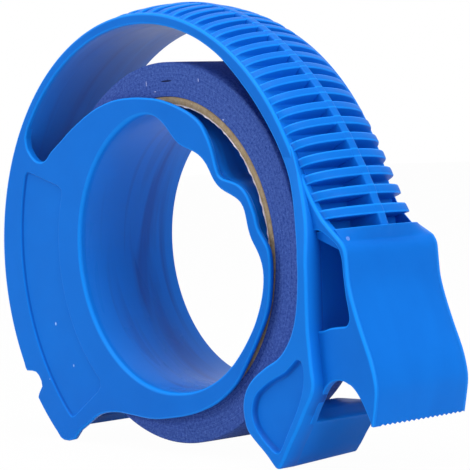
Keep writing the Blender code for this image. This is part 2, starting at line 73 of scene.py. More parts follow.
SURROUND_LEVEL = 0.28
world = bpy.data.worlds.new("studio_surround")
bpy.context.scene.world = world
world.use_nodes = True
sky = world.node_tree
sky.nodes.clear()
fill_light = node(sky, "Background", {"Color": (0.96, 0.98, 1.0, 1.0), "Strength": SURROUND_LEVEL})
backdrop = node(sky, "Background", {"Color": (1.0, 1.0, 1.0, 1.0), "Strength": 1.0})
surround = node(sky, "MixShader", {0: seen_straight(sky), 1: fill_light.outputs[0], 2: backdrop.outputs[0]})
node(sky, "OutputWorld", {"Surface": surround.outputs[0]})

FLOOR_SIZE = 3.0
FLOOR_WHITE_SHARE = 0.98
floor_mesh = bpy.data.meshes.new("floor")
floor_shape = bmesh.new()
bmesh.ops.create_grid(floor_shape, x_segments=1, y_segments=1, size=FLOOR_SIZE)
floor_shape.to_mesh(floor_mesh)
floor_shape.free()
floor = bpy.data.objects.new("floor", floor_mesh)
bpy.context.collection.objects.link(floor)
floor_finish = bpy.data.materials.new("white_floor")
floor_finish.use_nodes = True
tree = floor_finish.node_tree
tree.nodes.clear()
matt = node(tree, "BsdfDiffuse", {"Color": (0.72, 0.72, 0.72, 1.0)})
glow = node(tree, "Emission", {"Color": (1.0, 1.0, 1.0, 1.0), "Strength": 1.0})
share = node(tree, "Math", {0: seen_straight(tree), 1: FLOOR_WHITE_SHARE}, operation="MULTIPLY")
mixed = node(tree, "MixShader", {0: share.outputs[0], 1: matt.outputs[0], 2: glow.outputs[0]})
node(tree, "OutputMaterial", {"Surface": mixed.outputs[0]})
floor_mesh.materials.append(floor_finish)

# Camera: placed by a fit to the circles of the hub, the core and the roll in the photograph. It looks down
# a little on the near face, from the head's side, through a long lens.
CAMERA_PLACE = Vector((0.42122984, -0.35199802, 0.08102121))
CAMERA_TURN, CAMERA_FALL, CAMERA_ROLL = (math.radians(value) for value in (49.44974, 2.69978, -2.69767))
ahead = Vector((-math.sin(CAMERA_TURN) * math.cos(CAMERA_FALL),
                math.cos(CAMERA_TURN) * math.cos(CAMERA_FALL), -math.sin(CAMERA_FALL)))
level = Vector((math.cos(CAMERA_TURN), math.sin(CAMERA_TURN), 0.0))
upward = level.cross(ahead)
across = level * math.cos(CAMERA_ROLL) + upward * math.sin(CAMERA_ROLL)
over = upward * math.cos(CAMERA_ROLL) - level * math.sin(CAMERA_ROLL)
lens = bpy.data.cameras.new("camera")
lens.lens = 162.88
lens.sensor_width = 36.0
lens.clip_start = 0.01
camera = bpy.data.objects.new("camera", lens)
camera.matrix_world = Matrix.Translation(CAMERA_PLACE) @ Matrix((across, over, -ahead)).transposed().to_4x4()
bpy.context.collection.objects.link(camera)
bpy.context.scene.camera = camera
bpy.context.scene.view_settings.view_transform = "Standard"

# Lamps: a wide soft lamp overhead, one at the camera's left for the near face, and one in front of the
# head for the ribs and the front wall.
OBJECT_MIDDLE = Vector((0.0, 0.0, 0.055))
for name, place, size, power in (
        ("overhead_lamp", (0.10, -0.15, 0.95), 0.8, 7.2),
        ("left_lamp", (-0.45, -0.75, 0.45), 0.5, 3.5),
        ("head_lamp", (0.85, -0.05, 0.35), 0.5, 3.9)):
    light = bpy.data.lights.new(name, "AREA")
    light.shape = "DISK"
    light.size = size
    light.energy = power
    lamp = bpy.data.objects.new(name, light)
    lamp.location = place
    lamp.rotation_euler = (OBJECT_MIDDLE - Vector(place)).to_track_quat("-Z", "Y").to_euler()
    bpy.context.collection.objects.link(lamp)

# Side frame: the near wall of the moulding, in one sheet. It is the flat plate at the rear with its flange
# around the hub, the near rim of the grip band, and the head's side with its window and arch.
HUB_X, HUB_Z = -1.7 * MM, 52.0 * MM
NEAR = -14.35 * MM
BAND_X, BAND_Z = -8.1, -2.5
BAND_CENTRE = (BAND_X, BAND_Z)
BAND_OUTER, BAND_INNER = 63.8, 60.9
HUB_OUTER = 37.3
ARC_STEP = 1.5
FLAT_MARGIN = 0.12
ROUND_STEPS = 4
SHARPEST_CORNER = 0.75
FAINT_RIM = 0.3
SHADE_SIDE, SHADE_LEAST = 0.25, 0.1
POCKET_ROUND, POCKET_FLOOR = 0.25, 0.35


def turned(radius, degrees, centre=(0.0, 0.0)):
    """Point of the side view, in millimetres about the hub, at an angle and distance from a centre."""
    angle = math.radians(degrees)
    return Vector((centre[0] + radius * math.cos(angle), centre[1] + radius * math.sin(angle)))


def band_arc(radius, first, last, step=ARC_STEP):
    """Points along the band from one angle to another, both ends included."""
    count = max(2, round(abs(last - first) / step))
    return [turned(radius, first + (last - first) * part / count, BAND_CENTRE) for part in range(count + 1)]


def eased(points, steps=3, closed=True):
    """Curve through given points."""
    points = [Vector(point) for point in points]
    count = len(points)
    curve = []
    for index in range(count if closed else count - 1):
        spots = [index - 1, index, index + 1, index + 2]
        if closed:
            before, start, end, after = (points[spot % count] for spot in spots)
        else:
            before, start, end, after = (points[min(max(spot, 0), count - 1)] for spot in spots)
        for step in range(steps):
            t = step / steps
            curve.append(start + (end - before) * (t / 2)
                         + (before * 2 - start * 5 + end * 4 - after) * (t * t / 2)
                         + (start * 3 - before - end * 3 + after) * (t * t * t / 2))
    return curve if closed else curve + [points[-1]]


def value_along(table, place):
    """Value read along a table of places and values."""
    for (low, low_value), (high, high_value) in zip(table, table[1:]):
        if place <= high:
            part = max(0.0, (place - low) / (high - low))
            return low_value + (high_value - low_value) * part
    return table[-1][1]


def clamped(value):
    """Value kept between 0 and 1."""
    return min(max(value, 0.0), 1.0)


def quarter_turn(steps):
    """Angles through a quarter turn, both ends included."""
    return [math.pi / 2 * step / steps for step in range(steps + 1)]


def into_material(loop, solid_inside):
    """The loop turned so that the material lies on its left, and each point's direction into it."""
    area = sum(one.x * two.y - two.x * one.y for one, two in zip(loop, loop[1:] + loop[:1]))
    if (area > 0) != solid_inside:
        loop = loop[::-1]
    count = len(loop)
    inward = []
    for index, point in enumerate(loop):
        back = (point - loop[index - 1]).normalized()
        on = (loop[(index + 1) % count] - point).normalized()
        along = (back + on).normalized()
        reach = 1 / max(along.dot(on), SHARPEST_CORNER)
        inward.append(Vector((-along.y, along.x)) * reach)
    return loop, inward


def closed_outline(mesh, places):
    """Closed loop of numbered corners at their first places, and its edges."""
    order = mesh.verts.layers.int["order"]
    corners = [mesh.verts.new(place) for place in places]
    for index, corner in enumerate(corners):
        corner[order] = index
    return corners, [mesh.edges.new((corners[index - 1], corners[index])) for index in range(len(corners))]


def extruded(mesh, edges):
    """Extrude a closed loop of edges; gives the new corners and the new loop."""
    made = bmesh.ops.extrude_edge_only(mesh, edges=edges)["geom"]
    fresh = {item for item in made if isinstance(item, bmesh.types.BMVert)}
    return fresh, [item for item in made if isinstance(item, bmesh.types.BMEdge)
                   and item.verts[0] in fresh and item.verts[1] in fresh]


def raise_edge(mesh, loop, inward, rings):
    """Draw a closed loop and extrude it through rings, each a rule of inset, depth and rim mark."""
    order = mesh.verts.layers.int["order"]
    rim = mesh.verts.layers.float["rim"]
    painted_shade = mesh.verts.layers.float["painted_shade"]
    fresh, edges = closed_outline(mesh, [(0.0, 0.0, 0.0)] * len(loop))
    first = edges
    for number, ring in enumerate(rings):
        if number:
            fresh, edges = extruded(mesh, edges)
        for vert in fresh:
            inset, depth, mark = ring(vert[order])
            way_in = inward[vert[order]]
            spot = loop[vert[order]] + way_in * inset
            vert.co = (HUB_X + spot.x * MM, depth, HUB_Z + spot.y * MM)
            # Marks: a positive one paints a highlight on the rim; a negative one paints shade, strongest on
            # walls that face +X.
            vert[rim] = max(mark, 0.0)
            vert[painted_shade] = max(-mark, 0.0) * min(max(SHADE_SIDE - way_in.x, SHADE_LEAST), 1.0)
    return first, edges


def rim_rings(near, far, near_round, far_round, face_mark, far_mark):
    """Rings of a wall's edge: a flat margin, a rounded near rim, the edge itself and a rounded far rim."""
    def place(size, depth, side, turn, flat, mark):
        def ring(index):
            radius = size(index)
            inset = radius * (1 - math.sin(turn)) + flat
            return inset, depth(index) + side * radius * MM * (1 - math.cos(turn)), mark
        return ring

    quarter = quarter_turn(ROUND_STEPS)
    rings = [place(near_round, near, 1, 0.0, FLAT_MARGIN, face_mark)]
    # The rounds are painted lighter, most at the middle of each round; the far rim takes the far mark.
    for turn in quarter:
        mark = math.sin(2 * turn) ** 0.5 if 0 < turn < math.pi / 2 else FAINT_RIM
        rings.append(place(near_round, near, 1, turn, 0.0, mark))
    rings += [place(far_round, far, -1, turn, 0.0, far_mark) for turn in quarter[::-1]]
    rings.append(place(far_round, far, -1, 0.0, FLAT_MARGIN, 0.0))
    return rings


def new_shape():
    """Empty mesh with the corners' numbers and the marks that the blue material reads."""
    mesh = bmesh.new()
    mesh.verts.layers.int.new("order")
    for mark in ("rim", "polish", "painted_shade"):
        mesh.verts.layers.float.new(mark)
    return mesh


def wall(mesh, loops, near, far, pockets=(), face_mark=0.0, far_mark=FAINT_RIM):
    """Flat wall between two depths. A loop is its points, whether it is an outer edge, and its two rounds.

    A pocket is its points, the near face's place, its depth and the width of its slope. Depths and rounds
    are numbers or rules of the point.
    """
    def at_points(value, loop):
        return [value(point) if callable(value) else value for point in loop].__getitem__

    near_edges, far_edges = [], []
    for points, solid_inside, near_round, far_round in loops:
        loop, inward = into_material(points, solid_inside)
        rings = rim_rings(at_points(near, loop), at_points(far, loop), at_points(near_round, loop),
                          at_points(far_round, loop), face_mark, far_mark)
        first, last = raise_edge(mesh, loop, inward, rings)
        near_edges += first
        far_edges += last
    for points, top, depth, size in pockets:
        loop, inward = into_material(points, False)
        # Pocket rings: a painted highlight round the pocket's edge and painted shade down its slope.
        steps = ((POCKET_ROUND + FLAT_MARGIN, 0.0, face_mark), (POCKET_ROUND, 0.0, FAINT_RIM + face_mark),
                 (POCKET_ROUND * 0.4, 0.08, 0.4 + face_mark), (0.0, POCKET_ROUND, 0.0),
                 (-size * 0.35, depth * 0.7, -0.6), (-size * 0.65, depth * 0.92, -0.7), (-size, depth, -0.5),
                 (-size - POCKET_FLOOR, depth, 0.0), (-size - POCKET_FLOOR - FLAT_MARGIN, depth, 0.0))
        rings = [lambda index, step=step: (step[0], top + step[1] * MM, step[2]) for step in steps]
        first, last = raise_edge(mesh, loop, inward, rings)
        near_edges += first
        bmesh.ops.triangle_fill(mesh, edges=last, use_beauty=True)
    bmesh.ops.triangle_fill(mesh, edges=near_edges, use_beauty=True)
    bmesh.ops.triangle_fill(mesh, edges=far_edges, use_beauty=True)


def finish_piece(mesh, name, body, material, sharp=40.0):
    """Close a mesh as an object, smooth it up to an angle, and give it its body and material."""
    bmesh.ops.remove_doubles(mesh, verts=mesh.verts, dist=0.000002)
    bmesh.ops.recalc_face_normals(mesh, faces=mesh.faces)
    for face in mesh.faces:
        face.smooth = True
    data = bpy.data.meshes.new(name)
    mesh.to_mesh(data)
    mesh.free()
    data.set_sharp_from_angle(angle=math.radians(sharp))
    data.materials.append(material)
    piece = bpy.data.objects.new(name, data)
    bpy.context.collection.objects.link(piece)
    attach(piece, body)
    return piece


# Blue polypropylene: the moulding's plastic, satin and a little mottled by the flow of the melt. It has dust
# specks, a painted highlight on its rims, painted shade on the slopes of its pockets and at the cheek's root,
# and painted reflection streaks, darker, on the polished walls of hub and band.
blue = bpy.data.materials.new("satin_blue_polypropylene")
blue.use_nodes = True
tree = blue.node_tree
shader = tree.nodes["Principled BSDF"]
where = node(tree, "TexCoord").outputs["Object"]
cloud = node(tree, "TexNoise", {"Vector": where, "Scale": 42.0, "Detail": 4.0, "Roughness": 0.55})
flow_run = node(tree, "Mapping", {"Vector": where, "Scale": (26.0, 90.0, 26.0)})
flow = node(tree, "TexNoise", {"Vector": flow_run.outputs[0], "Scale": 1.0, "Detail": 3.0, "Distortion": 0.6})
mottle = node(tree, "Mix", {"Factor": 0.4, "A": cloud.outputs[0], "B": flow.outputs[0]})
tone = node(tree, "MapRange", {"Value": mottle.outputs[0], "From Min": 0.32, "From Max": 0.68})
ground = node(tree, "Mix", {"Factor": tone.outputs[0], "A": (0.003, 0.136, 0.585, 1.0),
                            "B": (0.004, 0.162, 0.66, 1.0)}, data_type="RGBA")
# Painted highlight: rims are mixed towards a paler blue by their mark.
rim_mark = node(tree, "Attribute", attribute_name="rim", attribute_type="GEOMETRY")
rim_highlight = node(tree, "Math", {0: rim_mark.outputs["Fac"], 1: 0.75}, operation="MULTIPLY")
# Painted shade: pocket slopes and the cheek's root are mixed towards a darker navy by their mark.
painted_shade_mark = node(tree, "Attribute", attribute_name="painted_shade", attribute_type="GEOMETRY")
shaded = node(tree, "Mix", {"Factor": painted_shade_mark.outputs["Fac"], "A": ground.outputs["Result"],
                            "B": (0.001, 0.055, 0.36, 1.0)}, data_type="RGBA")
rimmed = node(tree, "Mix", {"Factor": rim_highlight.outputs[0], "A": shaded.outputs["Result"],
                            "B": (0.008, 0.29, 0.96, 1.0)}, data_type="RGBA")
dust_grid = node(tree, "TexVoronoi", {"Vector": where, "Scale": 210.0}, feature="F1")
dust_pick = node(tree, "TexNoise", {"Vector": where, "Scale": 60.0, "Detail": 1.0})
dust_size = node(tree, "MapRange", {"Value": dust_pick.outputs[0], "From Min": 0.62, "From Max": 0.75,
                                    "To Min": 0.0, "To Max": 0.12})
dust = node(tree, "Math", {0: dust_grid.outputs["Distance"], 1: dust_size.outputs[0]}, operation="LESS_THAN")
dust = node(tree, "Math", {0: dust.outputs[0], 1: 0.35}, operation="MULTIPLY")
polish_mark = node(tree, "Attribute", attribute_name="polish", attribute_type="GEOMETRY")
# Painted reflection: darker streaks on the polished inside walls of hub and band.
streak_run = node(tree, "Mapping", {"Vector": where, "Scale": (14.0, 190.0, 14.0)})
streak_noise = node(tree, "TexNoise", {"Vector": streak_run.outputs[0], "Scale": 1.0, "Detail": 3.0,
                                       "Distortion": 0.8})
reflection_streak = node(tree, "MapRange", {"Value": streak_noise.outputs[0], "From Min": 0.48, "From Max": 0.66,
                                 "To Min": 0.0, "To Max": 0.55})
reflection_streak = node(tree, "Math", {0: reflection_streak.outputs[0], 1: polish_mark.outputs["Fac"]}, operation="MULTIPLY")
reflected = node(tree, "Mix", {"Factor": reflection_streak.outputs[0], "A": rimmed.outputs["Result"],
                              "B": (0.012, 0.062, 0.36, 1.0)}, data_type="RGBA")
dusty = node(tree, "Mix", {"Factor": dust.outputs[0], "A": reflected.outputs["Result"],
                           "B": (0.30, 0.42, 0.85, 1.0)}, data_type="RGBA")
tree.links.new(dusty.outputs["Result"], shader.inputs["Base Color"])
satin = node(tree, "MapRange", {"Value": flow.outputs[0], "From Min": 0.3, "From Max": 0.7,
                                "To Min": 0.34, "To Max": 0.46})
smoothed = node(tree, "Math", {0: polish_mark.outputs["Fac"], 1: 0.1}, operation="MULTIPLY")
satin = node(tree, "Math", {0: satin.outputs[0], 1: smoothed.outputs[0]}, operation="SUBTRACT")
tree.links.new(satin.outputs[0], shader.inputs["Roughness"])
gloss = node(tree, "MapRange", {"Value": polish_mark.outputs["Fac"], "To Min": 0.06, "To Max": 0.14})
tree.links.new(gloss.outputs[0], shader.inputs["Specular IOR Level"])
grain = node(tree, "TexNoise", {"Vector": where, "Scale": 1500.0, "Detail": 2.0})
sink = node(tree, "Math", {0: cloud.outputs[0], 1: 6.0}, operation="MULTIPLY")
relief = node(tree, "Math", {0: grain.outputs[0], 1: sink.outputs[0]}, operation="ADD")
bump = node(tree, "Bump", {"Height": relief.outputs[0], "Strength": 0.35, "Distance": 0.00003})
tree.links.new(bump.outputs[0], shader.inputs["Normal"])


def node_group(name, inputs, outputs):
    """Shader node group with named sockets; gives the group, its inputs' values and its outputs' sockets."""
    group = bpy.data.node_groups.new(name, "ShaderNodeTree")
    for direction, sockets in (("INPUT", inputs), ("OUTPUT", outputs)):
        for socket, kind in sockets:
            group.interface.new_socket(name=socket, in_out=direction, socket_type="NodeSocket" + kind)
    return group, group.nodes.new("NodeGroupInput").outputs, group.nodes.new("NodeGroupOutput").inputs


spot_mark, given, put_out = node_group("spot_mark", (
    ("Vector", "Vector"), ("Location", "Vector"), ("Scale", "Vector"), ("Base", "Color"), ("Mark", "Color"),
), (("Color", "Color"),))
spot_place = node(spot_mark, "Mapping", {name: given[name] for name in ("Vector", "Location", "Scale")})
reach = node(spot_mark, "VectorMath", {0: spot_place.outputs[0]}, operation="LENGTH")
inside = node(spot_mark, "MapRange", {"Value": reach.outputs["Value"], "From Min": 0.8, "From Max": 1.1,
                                      "To Min": 1.0, "To Max": 0.0})
marked = node(spot_mark, "Mix", {"Factor": inside.outputs[0], "A": given["Base"], "B": given["Mark"]},
              data_type="RGBA")
spot_mark.links.new(marked.outputs["Result"], put_out["Color"])
SPOT_HALF_DEPTH = 2 * MM


def speckle(material, depth, spots):
    """Put small marks on a near face: place, half width and half height in the side view, and colour."""
    tree = material.node_tree
    colour_socket = tree.nodes["Principled BSDF"].inputs["Base Color"]
    marked = colour_socket.links[0].from_socket
    where = node(tree, "TexCoord").outputs["Object"]
    for across, up, half_width, half_height, colour in spots:
        wide, high, deep = 1 / (half_width * MM), 1 / (half_height * MM), 1 / SPOT_HALF_DEPTH
        marked = node(tree, "Group", {
            "Vector": where, "Scale": (wide, deep, high), "Base": marked, "Mark": colour,
            "Location": (-(HUB_X + across * MM) * wide, -depth * deep, -(HUB_Z + up * MM) * high),
        }, node_tree=spot_mark).outputs["Color"]
    tree.links.new(marked, colour_socket)


speckle(blue, NEAR, (
    (-49.3, -20.2, 0.28, 0.5, (0.4, 0.6, 1.0, 1.0)), (-42.0, -31.3, 0.25, 0.4, (0.3, 0.5, 0.9, 1.0)),
    (-52.6, -35.5, 0.18, 0.2, (0.2, 0.4, 0.8, 1.0)),
))

# Free edge of the plate over the flange, along the folds and down to the rear tip: angle and distance.
PLATE_EDGE = (
    (154.1, 64.5), (155.2, 62.2), (155.7, 60.0), (155.5, 58.1), (154.7, 56.4), (153.0, 55.0), (150.5, 54.1),
    (145.0, 51.5), (139.0, 49.5), (127.5, 46.4), (116.0, 43.7), (105.0, 41.2), (94.0, 39.4), (88.0, 38.7),
    (82.0, 38.0), (75.0, 37.4), (68.0, 36.9), (62.0, 36.1), (55.4, 34.2), (50.5, 32.6), (47.0, 31.4),
    (43.0, 30.3), (39.7, 29.9), (36.5, 30.7), (33.7, 32.1), (30.5, 33.8), (27.7, 35.0), (24.5, 35.8),
    (21.2, 36.3), (14.8, 36.8), (9.8, 37.0), (5.8, 38.4), (3.5, 39.4), (1.4, 40.1), (-1.5, 40.5),
    (-5.5, 40.7), (-10.6, 40.9), (-15.8, 41.1), (-20.0, 41.1), (-25.0, 40.8), (-33.6, 40.4),
    (-41.4, 40.5), (-51.8, 41.4), (-64.8, 41.7), (-79.5, 41.9), (-93.6, 43.0), (-102.0, 44.4),
    (-112.0, 46.3), (-119.0, 48.8), (-125.0, 53.4), (-127.7, 59.1), (-129.3, 63.2),
)
HUB_HOLE = (
    (0, 36.4), (1.9, 35.8), (4, 34.7), (6.5, 33.8), (12, 33.4), (17.4, 33.6), (20.5, 33.6), (23, 33.0),
    (26, 31.6), (29.3, 30.0), (32.5, 28.6), (36.1, 27.8), (40, 27.5), (43.7, 27.7), (47, 28.2), (51.2, 28.7),
    (56, 28.9), (60.1, 28.8), (65.6, 28.4), (70, 28.2), (73.8, 28.3), (77, 28.9), (80.6, 30.1), (84, 31.7),
    (88, 33.4), (91, 34.4), (94.5, 35.2), (99, 35.7), (104, 35.85), (110, 35.85), (260, 35.85), (275, 36.0),
    (290, 36.6), (305, 37.1), (318, 37.3), (325, 37.5), (333, 38.0), (339.2, 38.2), (343.3, 38.4),
    (349, 38.4), (352.4, 38.2), (356, 37.7), (360, 36.4),
)
NOTCH = ((-63.4, -33.75), (-61.0, -33.7), (-59.2, -33.9), (-57.9, -34.8), (-56.9, -36.2), (-56.6, -37.7),
         (-57.4, -38.7), (-58.2, -39.7), (-58.7, -40.9))
RIM_FLARE = (
    (6, 1.126), (7.5, 1.099), (9, 1.075), (12, 1.045), (16, 1.022), (21, 1.006), (28, 1.0), (180, 1.0),
)
HEAD_FRONT = (
    (65.8, 2.9), (66.9, 1.0), (67.2, -2.5), (67.6, -7.0), (69.0, -12.0), (71.4, -18.3), (73.8, -24.0),
    (75.0, -28.6), (75.2, -31.6), (74.7, -34.6), (73.6, -39.5),
)
ARCH = (
    (72.9, -38.5), (71.2, -35.4), (69.7, -33.2), (68.2, -31.5), (66.6, -30.3), (64.7, -29.5), (62.7, -29.3),
    (61.0, -29.6), (59.2, -30.5), (57.3, -32.5), (55.3, -35.5), (53.8, -37.8), (52.4, -40.4),
)
WINDOW = (
    (56.0, -16.8), (56.0, -6.0), (56.0, 4.6), (56.6, 5.7), (58.9, 5.5), (61.2, 4.2), (64.0, 2.3), (65.1, 0.4),
    (65.6, -1.6), (65.8, -4.5), (66.3, -9.2), (67.0, -12.6), (67.2, -14.9), (66.2, -16.4), (64.2, -16.7),
    (60.8, -17.1), (58.0, -17.9), (56.6, -17.9),
)
RIM_INNER = ((-20, 60.9), (0, 60.6), (11, 60.1), (17, 60.2), (23, 60.5), (29, 60.3), (36, 60.0), (46, 60.0),
             (52, 60.3), (57, 60.7), (65, 60.92), (145, 60.92))
SLAB_BACK = -12.35 * MM
SHEET_CLEAR = 0.02
BAND_END, NOTCH_START, NOTCH_END = 228.2, 218.6, 208.6
RIM_MIDDLE = 62.5
FLANGE_REACH = 44
HOLE_ROUNDS = ((0, 0.5), (90, 0.5), (110, 0.95), (260, 0.95), (300, 0.5), (360, 0.5))


def spots_of(*points):
    """Given points as vectors."""
    return [Vector(point) for point in points]


outer_line = band_arc(BAND_OUTER - SHEET_CLEAR, BAND_END, NOTCH_START) + spots_of(*NOTCH[::-1])
outer_line += band_arc(BAND_OUTER - SHEET_CLEAR, NOTCH_END, 29.0)
outer_line += [turned(BAND_OUTER * value_along(RIM_FLARE, degrees), degrees, BAND_CENTRE)
               for degrees in (*range(27, 7, -2), 7.5, 6.0)]
outer_line += spots_of((64.6, 3.95)) + eased(HEAD_FRONT, closed=False)
outer_line += spots_of((72.9, -39.4)) + eased(ARCH, closed=False)
outer_line += spots_of((51.6, -39.6), (52.4, -35.0), (53.4, -24.0))
outer_line += [Vector((BAND_X + BAND_INNER + SHEET_CLEAR, depth)) for depth in (-19.0, -14.0, -9.0)]
outer_line += [turned(value_along(RIM_INNER, degrees), degrees, BAND_CENTRE) for degrees in range(0, 145, 2)]
free_edge = [turned(60.4, 146.4, BAND_CENTRE)] + [turned(radius, degrees) for degrees, radius in PLATE_EDGE]
outer_line += eased(free_edge, closed=False)
outer_line += spots_of((-42.6, -51.4), (-45.5, -52.0), (-47.9, -52.0), (-49.2, -51.5))
hub_hole = [turned(value_along(HUB_HOLE, degrees), degrees) for degrees in range(0, 360, 2)]
for _ in range(2):
    hub_hole = [(hub_hole[index - 1] + point * 2 + hub_hole[(index + 1) % len(hub_hole)]) / 4
                for index, point in enumerate(hub_hole)]


def frame_round(point):
    """Round of the near rim: wide on the outside of the band and head, small in the notch and at the tips."""
    in_notch = point.x < -55 and -42 < point.y < -33
    by_foot = point.x > 52 and point.y < -22
    on_front = point.x > 66
    if in_notch:
        return 0.35
    if by_foot:
        return 0.3 + 0.45 * clamped((point.y + 39) / 14) * on_front
    return 0.7 if (point - Vector(BAND_CENTRE)).length > RIM_MIDDLE else 0.5


def frame_far_round(point):
    """Round of the far rim: the plate is drawn thin towards the rear tip and at the flange's free edge."""
    if point.length < FLANGE_REACH:
        return 1.4
    return 0.12 + 1.25 * clamped((-24 - point.x) / 10) * clamped((-38 - point.y) / 4)


def hole_round(point):
    """Round of the hub's mouth: wide on the plate, small where only a thin lip is left."""
    return value_along(HOLE_ROUNDS, math.degrees(math.atan2(point.y, point.x)) % 360)


# Recess for a label, left bare: a shallow curved sinking between two arcs about the hub.
RECESS_OUTER, RECESS_INNER = 62.9, 45.5
RECESS_DEPTH, RECESS_SLOPE = 0.6, 0.4
recess_line = [turned(RECESS_OUTER, degrees) for degrees in range(161, 226, 2)]
recess_line += [turned(radius, degrees) for radius, degrees in (
    (62.6, 226.2), (61.4, 226.9), (55.0, 228.5), (49.0, 230.4), (46.9, 230.6))]
recess_line += [turned(RECESS_INNER, degrees) for degrees in range(229, 160, -2)]
recess_line += [turned(radius, degrees) for radius, degrees in (
    (RECESS_INNER + 0.5, 159.0), (RECESS_INNER + 2.5, 158.6), (RECESS_OUTER - 2.5, 159.6),
    (RECESS_OUTER - 0.6, 159.9))]
side_frame = new_shape()
wall(side_frame, [
    (outer_line, True, frame_round, frame_far_round), (hub_hole, False, hole_round, 0.1),
    (eased(WINDOW), False, 0.45, 0.3),
], NEAR, SLAB_BACK, pockets=[(recess_line, NEAR, RECESS_DEPTH, RECESS_SLOPE)])
side_frame = finish_piece(side_frame, "side_frame", "applicator", blue)
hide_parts("applicator_body")

# Hub: the thin springy wall that the roll's core slides on, moulded on the side frame's flange. Its two
# inward folds at the upper right let it be squeezed.
HUB_FOLDS = (
    (0, 37.3), (5, 36.4), (10, 34.9), (16, 34.5), (22, 34.0), (28, 33.05), (33, 31.7), (38, 29.8), (42, 29.3),
    (46, 29.65), (50, 30.6), (55, 32.1), (60, 33.2), (68, 34.7), (76, 35.7), (84, 36.7), (92, 37.3),
)
HUB_WALL = 1.4
HUB_BORE = 35.85
HUB_NEAR, HUB_FAR = -13.3 * MM, 17.85 * MM
INSIDE_LIMIT = 36.4 * MM
MOUTH = ((1.0, 1.0), (1.4, 0.8), (1.8, 0.55), (2.2, 0.33), (2.8, 0.12), (3.6, 0.0))
MOUTH_DEPTH = MOUTH[-1][0] * MM
hub_line = eased([turned(radius, degrees) for degrees, radius in HUB_FOLDS], steps=4, closed=False)
hub_line += [turned(HUB_OUTER, degrees) for degrees in range(94, 360, 2)]
hub_line, toward_middle = into_material(hub_line, True)
hub_inner = [point + step.normalized() * HUB_WALL for point, step in zip(hub_line, toward_middle)]
hub = new_shape()
wall(hub, [(hub_line, True, 0.05, 0.45), (hub_inner, False, 0.05, 0.4)], HUB_NEAR, HUB_FAR)


def cut_across(mesh, depth):
    """Add a row of corners at a depth, where the flat plane across the part cuts the mesh."""
    bmesh.ops.bisect_plane(mesh, geom=mesh.verts[:] + mesh.edges[:] + mesh.faces[:], dist=1e-6,
                           plane_co=(0.0, depth, 0.0), plane_no=(0.0, 1.0, 0.0))


for back, _ in MOUTH[1:]:
    cut_across(hub, NEAR + back * MM)
polish = hub.verts.layers.float["polish"]
for vert in hub.verts:
    spot = Vector((vert.co.x - HUB_X, vert.co.z - HUB_Z))
    back = vert.co.y - NEAR
    hole = value_along(HUB_HOLE, math.degrees(math.atan2(spot.y, spot.x)) % 360)
    spot += spot.normalized() * max(hole - HUB_BORE, 0.0) * value_along(MOUTH, back / MM) * MM
    vert.co.x, vert.co.z = HUB_X + spot.x, HUB_Z + spot.y
    # Polish on the bore and the mouth: more gloss, and painted reflection streaks.
    vert[polish] = 1.0 if spot.length < INSIDE_LIMIT or back < MOUTH_DEPTH else 0.0
finish_piece(hub, "hub_wall", "applicator", blue)

# Grip band: the wall over the roll, with cross ribs under a spine for the palm, moulded with the side
# frame. It is drawn as one cross-section, turned about the band's middle, and runs down behind the head.
RIB_COUNT, RIB_PITCH = 23, 4.4
HOOD_START, HOOD_EDGE = 6.0, 6.8
RIB_COLUMNS = (
    (-2.2, None, 0.0), (-1.75, None, 0.0), (-1.4, None, 0.03), (-1.24, None, 0.12), (-1.14, None, 0.32),
    (-1.1, 0.4, None), (-1.06, 0.24, None), (-0.97, 0.12, None), (-0.82, 0.04, None), (-0.6, 0.0, None),
    (0.0, 0.0, None), (0.6, 0.0, None), (0.82, 0.04, None), (0.97, 0.12, None), (1.06, 0.24, None),
    (1.1, 0.4, None), (1.14, None, 0.32), (1.24, None, 0.12), (1.4, None, 0.03), (1.75, None, 0.0),
)
SPINE_ROWS = {0.0: (0.0, None), 0.5: (0.0, None), 0.9: (0.02, None), 1.08: (0.08, None), 1.2: (0.18, None),
              1.28: (0.34, None), 1.32: (None, 0.3), 1.42: (None, 0.1), 1.6: (None, 0.0)}
CROWN = (
    (6, 0.36), (9, 0.76), (14, 0.95), (18, 0.97), (24, 0.87), (32, 0.7), (40, 0.56), (50, 0.46), (70, 0.42),
    (82, 0.38), (90, 0.34), (95, 0.22), (99, 0.08),
)
CROWN_BEND = ((24, 0.5), (30, 0.58), (36, 0.8), (44, 1.0), (180, 1.1))
FAR_FLARE = ((5.9, 6.3), (7.5, 4.6), (9, 3.1), (12, 1.2), (16, 0.0))
CROWN_HEIGHT, RIB_STAND, SPINE_RISE = 5.8, 0.5, 0.2
FULL_RIB, GAP_SHARE, SPINE_STOP = 0.8, 0.4, 3.5
SHOULDER, SHOULDER_SPAN = 11.5, 2.5
RIM_LIGHT_DROP = 0.3
BAND_FRONT, BAND_FRONT_INSIDE, BAND_FAR = -13.6, -13.2, 15.15
BAND_MIDDLE, RIB_HALF, FAR_RIM_FROM = 0.4, 13.95, 10
OUTER_ROUND, INNER_ROUND = 0.7, 0.5
PLAIN_END, PLAIN_COUNT = 227.2, 54
NOTCH_FROM, NOTCH_TO, NOTCH_BACK = 209.3, 217.6, -8.35
per_mm = math.degrees(1 / BAND_OUTER)
columns = [("down", depth, None, 0.0) for depth in (18.3, 18.0, 14.0, 9.0, 4.5)]
columns += [("turn", degrees, None, 0.0) for degrees in (0.0, 2.0, 4.0, HOOD_START)]
for rib in range(RIB_COUNT):
    middle = HOOD_START + RIB_PITCH * per_mm * (rib + 1)
    columns += [("turn", middle + shift * per_mm, drop, lift) for shift, drop, lift in RIB_COLUMNS]
last_rib = columns[-1][1]
